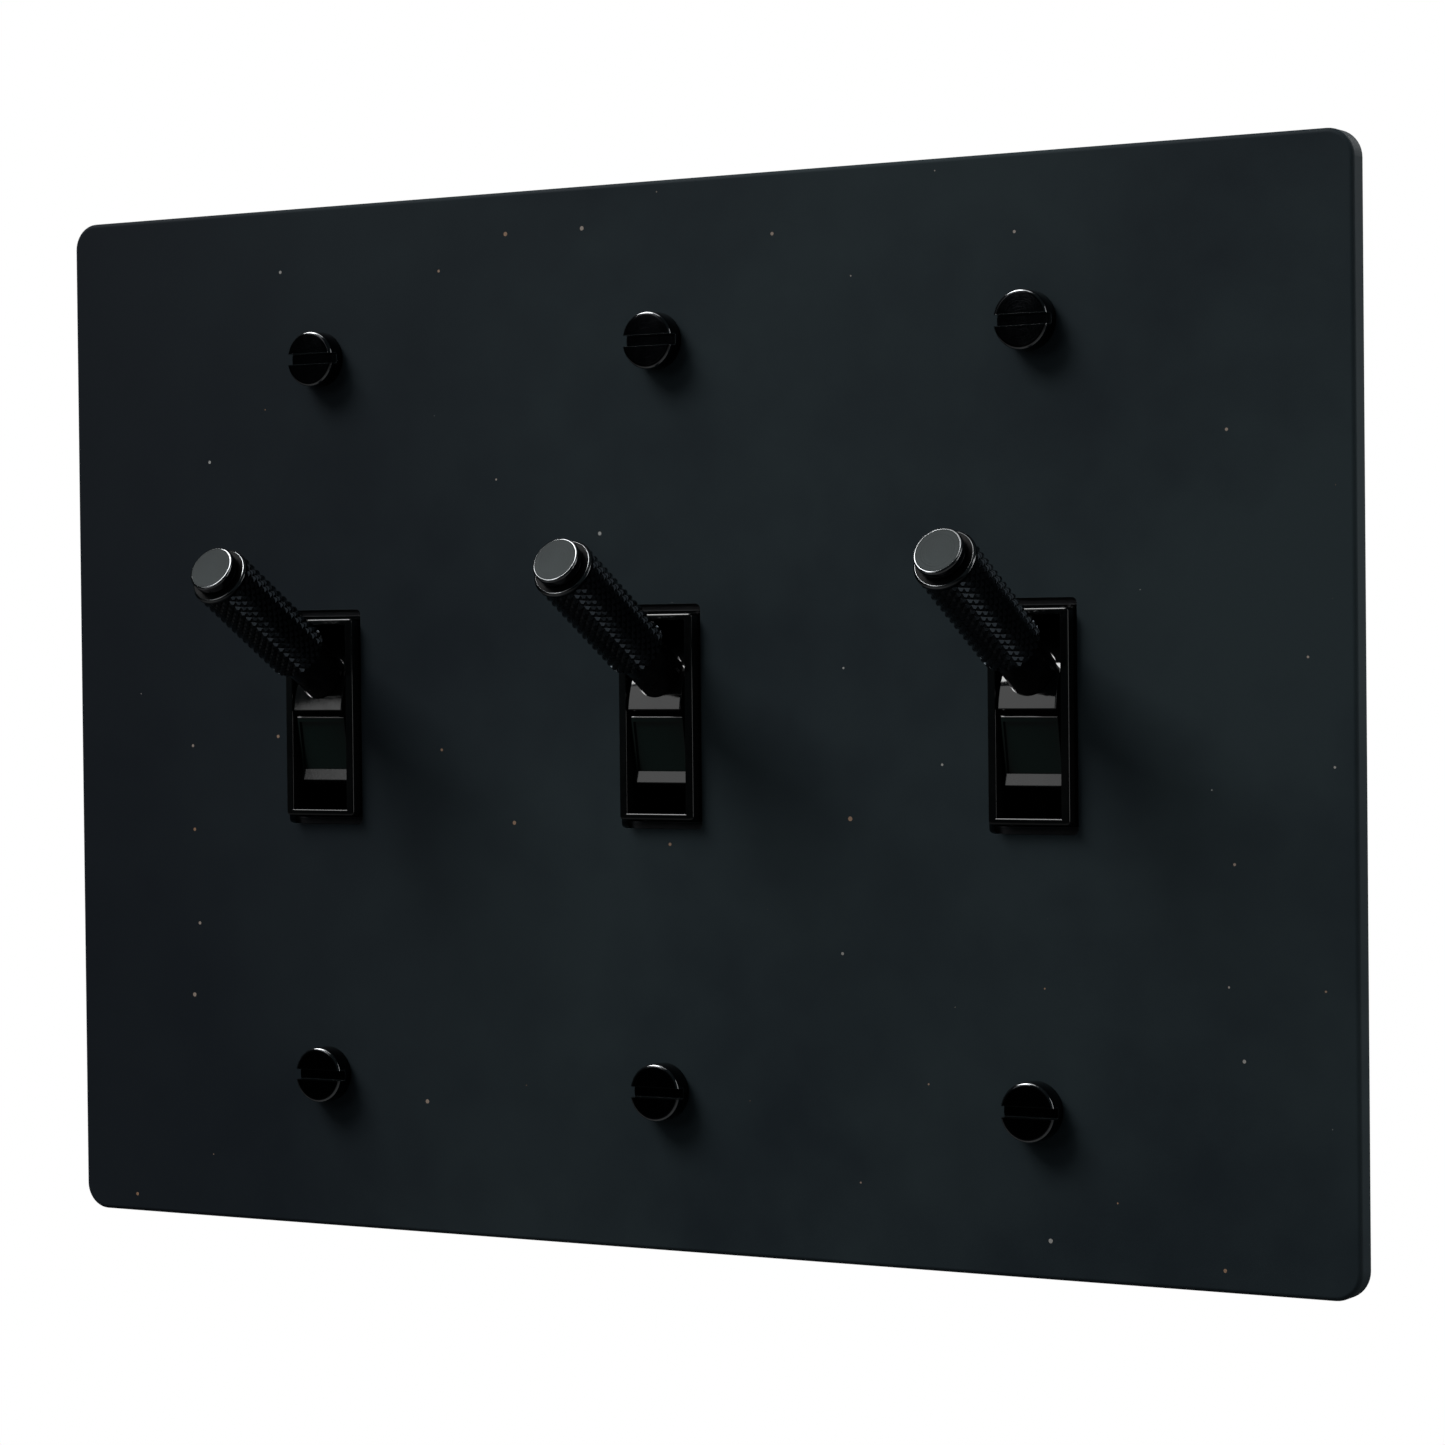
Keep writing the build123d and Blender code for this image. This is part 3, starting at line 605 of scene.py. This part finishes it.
green_zinc = turned_metal(
    "green_zinc", (0.015, 0.16, 0.055), (0.035, 0.27, 0.10), (0.35, 0.48, 0.34), (0.26, 0.40),
    patch=3.0, mottle=0.6, bump=0.003)

FINISHES = {
    "plate": powder_coat,
    "screw_black": black_plating,
    "black_plastic": gloss_moulding,
    "housing_plastic": matt_moulding,
    "black_metal": black_knurl,
    "neck_metal": black_stem,
    "tip_metal": satin_tip,
    "strap_steel": strap_black,
    "brass": plain_brass,
    "silver": silver_alloy,
    "spring_steel": spring_wire,
    "zinc": bright_zinc,
    "green_screw": green_zinc,
}

# %% [markdown]
# ## The carried-over pieces
# Plate, straps, mouldings, terminals and springs already have their true shape, so they only need their
# finish. Their machined edges are perfectly sharp, though, and a real edge always catches a line of light. A
# bevel modifier breaks those edges by a tenth of a millimetre without touching the mesh underneath.

# %% Finish the carried-over nodes
EDGE_BREAK = 0.10 * MM
BREAK_ABOVE = radians(38)
SOFT_EDGES = ("strap", "front_housing", "back_housing", "common_terminal", "line_terminal", "contact_rocker")
slot_of = {part["node"]: part["material_slot"] for part in frame["record"]["subparts"]}


def break_edges(piece, width):
    """Break a piece's sharp edges with a narrow bevel."""
    bevel = piece.modifiers.new("broken_edges", "BEVEL")
    bevel.width = width
    bevel.segments = 2
    bevel.limit_method = "ANGLE"
    bevel.angle_limit = BREAK_ABOVE


for name, piece in nodes.items():
    piece.data.materials.clear()
    piece.data.materials.append(rocker_moulding if name.endswith("_cradle") else FINISHES[slot_of[name]])
    if name.endswith(SOFT_EDGES):
        break_edges(piece, EDGE_BREAK)
print("finished", len(nodes), "nodes in", len(FINISHES), "finishes")

# %% [markdown]
# ## Turned pieces
# Grips, caps and screws come off a lathe, so they are made the same way here: a side view is spun round an
# axis. The lathe below spins a list of corners, each a radius and a height, and closes the ends on the axis
# when the radius is zero. Each piece is made in its own frame and then carried to its place, which keeps its
# turning rings centred.

# %% A lathe
ROUND_STEPS = 72
SMOOTH_BELOW = radians(32)
FLAT_ABOVE = 0.9995


def spin(shape, outline, steps=ROUND_STEPS, closed=False):
    """Spin corners (radius, height) in millimetres round Z; a closed outline makes a ring."""
    loops = []
    for radius, height in outline:
        if radius == 0:
            loops.append([shape.verts.new((0, 0, height * MM))] * steps)
            continue
        turn = [2 * pi * step / steps for step in range(steps)]
        ring = [Vector((radius * cos(angle), radius * sin(angle), height)) * MM for angle in turn]
        loops.append([shape.verts.new(corner) for corner in ring])
    pairs = list(zip(loops, loops[1:]))
    if closed:
        pairs.append((loops[-1], loops[0]))
    for low, high in pairs:
        for step in range(steps):
            after = (step + 1) % steps
            corners = [low[step], low[after], high[after], high[step]]
            shape.faces.new(list(dict.fromkeys(corners)))


def rounded(corners, radius, points=4):
    """Corners with an arc in place of each one that has a radius."""
    out = []
    for index, (corner, cut) in enumerate(zip(corners, radius)):
        here = Vector(corner)
        if not cut:
            out.append(tuple(here))
            continue
        before = (Vector(corners[index - 1]) - here).normalized()
        after = (Vector(corners[(index + 1) % len(corners)]) - here).normalized()
        for step in range(points + 1):
            share = step / points
            out.append(tuple(here + before * cut * (1 - share) ** 2 + after * cut * share ** 2))
    return out


def make_piece(name, shape, place, material, body, slot, *stands_for):
    """Turn a finished shape into a piece in its place, riding on its body; faces across Z stay flat."""
    bmesh.ops.recalc_face_normals(shape, faces=shape.faces)
    mesh = bpy.data.meshes.new(name)
    shape.to_mesh(mesh)
    shape.free()
    mesh.shade_smooth()
    mesh.set_sharp_from_angle(angle=SMOOTH_BELOW)
    for face in mesh.polygons:
        face.use_smooth = abs(face.normal.z) < FLAT_ABOVE
    mesh.materials.append(material)
    piece = bpy.data.objects.new(name, mesh)
    scene.collection.objects.link(piece)
    piece.matrix_world = place
    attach(piece, body)
    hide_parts(*stands_for)
    return piece


def lever_frame(gang):
    """The frame of one lever: its pivot, with Z along the lever."""
    pivot = Vector(joints[f"{gang}_lever_pivot"]["pos_m"])
    across = Vector((1, 0, 0))
    turn = Matrix((across, ALONG_LEVER.cross(across), ALONG_LEVER)).transposed().to_4x4()
    return Matrix.Translation(pivot) @ turn


def measure(node, place):
    """The lowest and highest point of a node along Z of a frame, and its largest radius, in millimetres."""
    local = [place.inverted() @ corner.co for corner in nodes[node].data.vertices]
    heights = [corner.z / MM for corner in local]
    radius = max(corner.xy.length for corner in local) / MM
    return min(heights), max(heights), radius


GRIP_START, GRIP_END, GRIP_RADIUS = measure("left_grip", lever_frame("left"))
print("grip from", round(GRIP_START, 2), "to", round(GRIP_END, 2), "mm, radius", round(GRIP_RADIUS, 2))

# %% [markdown]
# ## Knurled grips
# A diamond knurl is pressed into a bar by two slanting wheels, which leaves rows of small pyramids with their
# points flattened. A bump map would leave the outline smooth and give no glints, so each pyramid is real:
# its four corners lie in the grooves and its small top stands at the full radius. The pyramids of each row
# sit between those of the row below, and half pyramids close both ends.

# %% Knurled grips
DIAMONDS_ROUND = 22
ROW_STEP = 0.60
KNURL_DEPTH = 0.22
TOP_SHARE = 0.30
END_BAND = 0.62
BAND_CHAMFER = 0.22
FOOT_BAND = 0.30
FOOT_CHAMFER = 0.10
BORE_RADIUS = 2.05
CORE_RADIUS = 2.95
SLEEVE_OVERLAP = 0.05
BAND_OVERLAP = 0.02
FINE_BREAK = 0.04
BAND_BREAK = 0.06


def on_cylinder(radius, turn, height):
    """A point on a cylinder round Z, its turn counted in diamonds and its sizes in millimetres."""
    angle = 2 * pi * turn / DIAMONDS_ROUND
    return Vector((radius * cos(angle), radius * sin(angle), height)) * MM


def knurl(shape, start, end, radius):
    """A closed sleeve of diamond pyramids between two heights."""
    rows = 2 * round((end - start) / ROW_STEP / 2)
    step = (end - start) / rows
    low = radius - KNURL_DEPTH
    grooves = {}
    for row in range(rows + 1):
        for place in range(DIAMONDS_ROUND):
            turn = place + 0.5 * (row % 2)
            grooves[row, place] = shape.verts.new(on_cylinder(low, turn, start + row * step))
    inner = {}
    for row in (0, rows):
        for place in range(DIAMONDS_ROUND):
            spot = on_cylinder(CORE_RADIUS - SLEEVE_OVERLAP, place, start + row * step)
            inner[row, place] = shape.verts.new(spot)
    for middle in range(rows + 1):
        for place in range(DIAMONDS_ROUND):
            add_pyramid(shape, grooves, inner, middle, place, rows, start, step, radius)
    for place in range(DIAMONDS_ROUND):
        after = (place + 1) % DIAMONDS_ROUND
        corners = (inner[0, place], inner[0, after], inner[rows, after], inner[rows, place])
        shape.faces.new(corners)


def add_pyramid(shape, grooves, inner, middle, place, rows, start, step, radius):
    """One pyramid whose middle is in a row, or the half of it that lies inside the sleeve."""
    shift = middle % 2
    left = grooves[middle, place]
    right = grooves[middle, (place + 1) % DIAMONDS_ROUND]
    turn = place + 0.5 + 0.5 * shift
    beside = (place + shift) % DIAMONDS_ROUND
    height = start + middle * step
    tops = {
        "left": shape.verts.new(on_cylinder(radius, turn - 0.5 * TOP_SHARE, height)),
        "right": shape.verts.new(on_cylinder(radius, turn + 0.5 * TOP_SHARE, height)),
    }
    for side, limit, way in (("below", 0, -1), ("above", rows, 1)):
        if middle == limit:
            rim = (left, tops["left"], tops["right"], right)
            shape.faces.new((*rim, inner[limit, (place + 1) % DIAMONDS_ROUND], inner[limit, place]))
            continue
        point = grooves[middle + way, beside]
        tops[side] = shape.verts.new(on_cylinder(radius, turn, height + way * step * TOP_SHARE))
        shape.faces.new((left, point, tops[side], tops["left"]))
        shape.faces.new((point, right, tops["right"], tops[side]))
    shape.faces.new([tops[side] for side in ("left", "below", "right", "above") if side in tops])


def make_grip(gang):
    """One knurled grip on its plain core, with a narrow band at each end and a bright front rim."""
    shape = bmesh.new()
    low_band, high_band = GRIP_START + FOOT_BAND, GRIP_END - END_BAND
    outline = [
        (BORE_RADIUS, GRIP_START), (GRIP_RADIUS - KNURL_DEPTH, GRIP_START),
        (GRIP_RADIUS - FOOT_CHAMFER, low_band - FOOT_CHAMFER), (GRIP_RADIUS - FOOT_CHAMFER, low_band),
        (CORE_RADIUS, low_band), (CORE_RADIUS, high_band), (GRIP_RADIUS, high_band),
        (GRIP_RADIUS, GRIP_END - BAND_CHAMFER), (GRIP_RADIUS - BAND_CHAMFER, GRIP_END),
        (BORE_RADIUS, GRIP_END)]
    soft = (0, FINE_BREAK, FINE_BREAK, 0, 0, 0, FINE_BREAK, BAND_BREAK, BAND_BREAK, 0)
    spin(shape, rounded(outline, soft, 3), closed=True)
    knurl(shape, low_band - BAND_OVERLAP, high_band + BAND_OVERLAP, GRIP_RADIUS)
    piece = make_piece(
        f"{gang}_knurled_grip", shape, lever_frame(gang), black_knurl, f"{gang}_lever", "black_metal",
        f"{gang}_grip")
    # The end face gets the painted-shade finish: near black and dull, for the shade in the groove under the cap.
    piece.data.materials.append(grip_end_painted_shade)
    piece.data.materials.append(polished_rim)
    for face in piece.data.polygons:
        on_end = face.normal.z > FLAT_ABOVE and face.center.z > high_band * MM
        on_rim = not on_end and face.center.z > (GRIP_END - BAND_CHAMFER) * MM
        face.material_index = int(on_end) + 2 * int(on_rim)
    return piece


for gang in GANGS:
    grip = make_grip(gang)
print("each grip has", len(grip.data.polygons), "faces")

# %% [markdown]
# ## Caps on the levers
# A satin disc closes each grip. Its face is flat and faced on a lathe, and its rim is broken with a small
# round chamfer that shows as a bright ring. It could be the frame's own disc, but the rim needs a smoother
# curve than that has, and its rings need a centre.

# %% Tip caps
CAP_START, CAP_END, CAP_RADIUS = measure("left_tip_cap", lever_frame("left"))
STEM_RADIUS = 1.1
RIM_ROUND = 0.24
UNDERCUT = 0.22
UNDERCUT_ROUND = 0.08


def make_cap(gang):
    """One turned disc with its stem: satin in front, with a bright rim, and black-plated on its side."""
    corners = [
        (0, CAP_START), (STEM_RADIUS, CAP_START), (STEM_RADIUS, GRIP_END), (CAP_RADIUS - UNDERCUT, GRIP_END),
        (CAP_RADIUS - UNDERCUT, GRIP_END + UNDERCUT), (CAP_RADIUS, GRIP_END + 2 * UNDERCUT),
        (CAP_RADIUS, CAP_END), (0, CAP_END)]
    shape = bmesh.new()
    spin(shape, rounded(corners, (0, 0, 0, 0, 0, UNDERCUT_ROUND, RIM_ROUND, 0), 6))
    place = lever_frame(gang)
    cap = make_piece(
        f"{gang}_turned_cap", shape, place, satin_tip, f"{gang}_lever", "tip_metal", f"{gang}_tip_cap")
    cap.data.materials.append(black_plating)
    cap.data.materials.append(polished_rim)
    for face in cap.data.polygons:
        in_front = face.center.z > (CAP_END - RIM_ROUND) * MM
        on_rim = in_front and face.normal.z < FLAT_ABOVE
        face.material_index = int(not in_front) + 2 * int(on_rim)
    return cap


for gang in GANGS:
    cap = make_cap(gang)
print("cap", round(2 * CAP_RADIUS, 2), "mm across,", len(cap.data.polygons), "faces")

# %% [markdown]
# ## Screws
# The plate screws are slotted cheese heads, black-plated, with a thin neck so that they stay in the plate
# when it is off the wall. The slot is cut with a boolean, as a saw would cut it, and a bevel then breaks the
# rim and both lips of the slot, which is what catches the light. The thread is a real one: a ring of points
# climbs one pitch in each turn, so that crest and root run round as a helix.

# %% Threads and heads
INCH = 25.4
THREADS_PER_INCH = 32
THREAD_PITCH = INCH / THREADS_PER_INCH
THREAD_DEPTH = 0.42
THREAD_STEPS = 28
RUNG_SHARES = (0.0, 0.14, 0.45, 0.62)
SLOT_WIDTH = 1.2
SLOT_DEPTH = 1.1
HEAD_BREAK = 0.20
HEAD_ROUND = 0.38
SEAT_ROUND = 0.08
TIP_TAPER = 0.6
WELD_WITHIN = 0.0005 * MM


def thread(shape, radius, start, end):
    """A threaded shank along Z, its crests at one radius, closed at both ends."""
    root = radius - THREAD_DEPTH
    reach = (radius, radius, root, root)
    count = int((end - start) / THREAD_PITCH) + 2
    columns = []
    for step in range(THREAD_STEPS):
        turn = 2 * pi * step / THREAD_STEPS
        column = [shape.verts.new((root * cos(turn) * MM, root * sin(turn) * MM, start * MM))]
        for coil in range(-1, count):
            for share, out in zip(RUNG_SHARES, reach):
                height = start + (coil + share + step / THREAD_STEPS) * THREAD_PITCH
                taper = max(0.0, TIP_TAPER - (end - height))
                here = max(root, out - taper) if start < height < end else root
                height = min(max(height, start), end)
                column.append(shape.verts.new((here * cos(turn) * MM, here * sin(turn) * MM, height * MM)))
        column.append(shape.verts.new((root * cos(turn) * MM, root * sin(turn) * MM, end * MM)))
        columns.append(column)
    lead = len(RUNG_SHARES)
    for step, column in enumerate(columns):
        last = step == THREAD_STEPS - 1
        beside = columns[0] if last else columns[step + 1]
        shift = lead if last else 0
        for rung in range(len(column) - 1):
            low = min(rung + shift, len(beside) - 1) if rung else 0
            high = min(rung + 1 + shift, len(beside) - 1)
            if low == high:
                corners = [column[rung], beside[low], column[rung + 1]]
            else:
                corners = [column[rung], beside[low], beside[high], column[rung + 1]]
            shape.faces.new(corners)
    for row, height in ((0, start), (-1, end)):
        shape.faces.new([column[row] for column in columns])
    bmesh.ops.remove_doubles(shape, verts=shape.verts, dist=WELD_WITHIN)
    bmesh.ops.dissolve_degenerate(shape, edges=shape.edges, dist=WELD_WITHIN)


def slotted_head(radius, height):
    """A cheese head standing on Z = 0, its slot cut along X and its edges broken."""
    shape = bmesh.new()
    corners = [(0, 0), (radius, 0), (radius, height), (0, height)]
    outline = rounded(corners, (0, SEAT_ROUND, HEAD_ROUND, 0), 5)
    spin(shape, outline)
    bmesh.ops.recalc_face_normals(shape, faces=shape.faces)
    mesh = bpy.data.meshes.new("head_blank")
    shape.to_mesh(mesh)
    blank = bpy.data.objects.new("head_blank", mesh)
    shape.clear()
    bmesh.ops.create_cube(shape, size=1)
    bmesh.ops.scale(shape, vec=(4 * radius * MM, SLOT_WIDTH * MM, 2 * SLOT_DEPTH * MM), verts=shape.verts)
    bmesh.ops.translate(shape, vec=(0, 0, height * MM), verts=shape.verts)
    saw_mesh = bpy.data.meshes.new("saw")
    shape.to_mesh(saw_mesh)
    saw = bpy.data.objects.new("saw", saw_mesh)
    for item in (blank, saw):
        scene.collection.objects.link(item)
    cut = blank.modifiers.new("slot", "BOOLEAN")
    cut.object = saw
    cut.solver = "EXACT"
    lips = blank.modifiers.new("broken_lips", "BEVEL")
    lips.width = HEAD_BREAK * MM
    lips.segments = 3
    lips.limit_method = "ANGLE"
    lips.angle_limit = BREAK_ABOVE
    bpy.context.view_layer.update()
    made = bpy.data.meshes.new_from_object(blank.evaluated_get(bpy.context.evaluated_depsgraph_get()))
    for item in (blank, saw):
        bpy.data.objects.remove(item)
    shape.clear()
    shape.from_mesh(made)
    return shape


# %% [markdown]
# Three kinds of screw are needed: the six that hold the plate, the green earth screw in each strap's tab, and
# the two brass ones at the side of each switch. They differ in size, direction and finish only, so one maker
# serves them all. Each is made with the seat of its head at zero and its head pointing up, then turned.

# %% A screw maker
THREAD_RADIUS = 1.75
NECK_OVERLAP = 0.3
EDGE_LEAST = 0.20
EDGE_MOST = 0.97
TURNS = {
    "out of the wall": Matrix.Rotation(radians(90), 4, "X"),
    "down": Matrix.Rotation(radians(180), 4, "X"),
    "to the right": Matrix.Rotation(radians(90), 4, "Y"),
}


def make_screw(name, node, seat, way, head, neck, tip, finish, rim, slot):
    """A slotted screw; head is (radius, height), neck is (radius, length), if any, rim is the edge finish."""
    shape = slotted_head(*head)
    start = 0.0
    if neck:
        start = -neck[1]
        low, high = start - NECK_OVERLAP, NECK_OVERLAP
        spin(shape, [(0, low), (neck[0], low), (neck[0], high), (0, high)], THREAD_STEPS)
    thread(shape, THREAD_RADIUS, tip, start)
    place = Matrix.Translation(seat) @ TURNS[way]
    screw = make_piece(name, shape, place, finish, "plate_and_housings", slot, node)
    screw.data.materials.append(rim)
    for face in screw.data.polygons:
        near_top = face.center.z > (head[1] - HEAD_ROUND) * MM
        face.material_index = int(near_top and EDGE_LEAST < face.normal.z < EDGE_MOST)
    return screw


# %% Plate screws
PLATE_HEAD_HEIGHT = 2.3
PLATE_NECK = (1.45, 3.5)
for gang in GANGS:
    for end in ("upper", "lower"):
        node = f"{gang}_{end}_plate_screw"
        low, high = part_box(node)
        seat = Vector(((low.x + high.x) / 2, low.y + PLATE_HEAD_HEIGHT * MM, (low.z + high.z) / 2))
        head = ((high.x - low.x) / 2 / MM, PLATE_HEAD_HEIGHT)
        tip = (seat.y - high.y) / MM
        screw = make_screw(
            f"{gang}_{end}_slotted_screw", node, seat, "out of the wall", head, PLATE_NECK, tip,
            black_plating, polished_rim, "screw_black")
print("plate screw", [round(edge / MM, 2) for edge in screw.dimensions], "mm")

# %% Earth screws and terminal screws
SIDE_HEAD = (3.5, 2.2)
for gang in GANGS:
    node = f"{gang}_ground_screw"
    low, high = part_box(node)
    seat = Vector(((low.x + high.x) / 2, (low.y + high.y) / 2, low.z + SIDE_HEAD[1] * MM))
    tip = (seat.z - high.z) / MM
    make_screw(
        f"{gang}_earth_screw", node, seat, "down", SIDE_HEAD, None, tip,
        green_zinc, green_zinc, "green_screw")
    node = f"{gang}_terminal_screws"
    low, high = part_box(node)
    tip = (low.x - high.x) / MM + SIDE_HEAD[1]
    edge = SIDE_HEAD[0] * MM
    for end, height in (("upper", high.z - edge), ("lower", low.z + edge)):
        seat = Vector((high.x - SIDE_HEAD[1] * MM, (low.y + high.y) / 2, height))
        make_screw(
            f"{gang}_{end}_wire_screw", node, seat, "to the right", SIDE_HEAD, None, tip,
            turned_brass, turned_brass, "brass")
